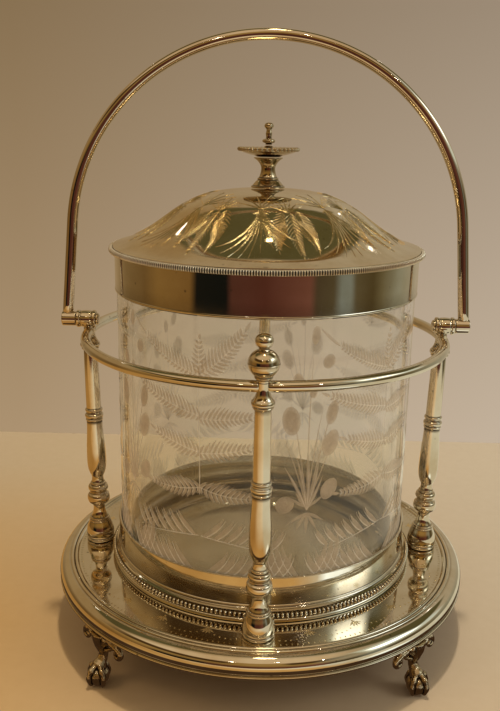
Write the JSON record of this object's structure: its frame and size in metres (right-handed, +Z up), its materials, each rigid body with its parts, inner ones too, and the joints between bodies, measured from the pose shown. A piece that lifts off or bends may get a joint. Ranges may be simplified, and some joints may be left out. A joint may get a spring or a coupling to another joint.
{
  "type": "biscuit barrel",
  "caption": "Round glass biscuit barrel with a plated collar and domed lid, held by a gallery in a footed stand with turned columns, a ring rail and a swing handle.",
  "frame": {"origin": "on the ground under the jar's axis, at the middle of the four feet", "axes": "+Z up along the jar's axis; +X to the right along the handle's pivot axis; -Y towards the front column"},
  "size_m": [0.1834, 0.1834, 0.2578],
  "materials": {
    "stand_metal": "polished silver plate, softly rubbed, warm where it is worn",
    "column_metal": "polished silver plate, darker in the turned grooves",
    "foot_metal": "cast and plated, tarnished in the hollows",
    "handle_metal": "polished silver plate",
    "collar_metal": "polished silver plate, plain",
    "lid_metal": "polished silver plate, bright-cut on top",
    "finial_metal": "polished silver plate, beaded edge, tarnished in the hollows",
    "nut_metal": "turned, unplated",
    "jar_glass": "clear, wheel-engraved with ferns and buds",
    "plaster": "set plaster, chalky"
  },
  "bodies": {
    "stand": {"base_plate": "stand_metal", "plate_border": "stand_metal", "foot_front_left": "foot_metal", "foot_front_right": "foot_metal", "foot_back_left": "foot_metal", "foot_back_right": "foot_metal", "gallery_foot": "stand_metal", "gallery_bead_wire": "stand_metal", "gallery_band": "stand_metal", "column_front": "column_metal", "column_back": "column_metal", "column_left": "column_metal", "column_right": "column_metal", "column_nut_front": "nut_metal", "column_nut_back": "nut_metal", "column_nut_left": "nut_metal", "column_nut_right": "nut_metal", "ball_finial_front": "column_metal", "ball_finial_back": "column_metal", "pivot_head_left": "column_metal", "pivot_head_right": "column_metal", "pivot_pin_left": "column_metal", "pivot_pin_right": "column_metal", "rail_front_left": "stand_metal", "rail_front_right": "stand_metal", "rail_back_left": "stand_metal", "rail_back_right": "stand_metal"},
    "handle": {"handle_bow": "handle_metal", "handle_eye_left": "handle_metal", "handle_eye_right": "handle_metal"},
    "jar": {"glass_jar": "jar_glass", "jar_collar": "collar_metal", "collar_plaster": "plaster"},
    "lid": {"lid_dome": "lid_metal", "lid_reeded_rim": "lid_metal", "lid_bezel": "lid_metal", "finial_stem": "finial_metal", "finial_disc": "finial_metal", "finial_knob": "finial_metal", "finial_nut": "nut_metal"}
  },
  "joints": [
    {"name": "handle_swing", "type": "hinge", "parent": "stand", "child": "handle", "pos_m": [0, 0, 0.1373], "axis": [1, 0, 0], "range_deg": [-134, 134]},
    {"name": "jar_lift", "type": "slide", "parent": "stand", "child": "jar", "axis": [0, 0, 1], "range_m": [0, 0.019]},
    {"name": "lid_lift", "type": "slide", "parent": "jar", "child": "lid", "axis": [0, 0, 1], "range_m": [0, 0.012]}
  ]
}
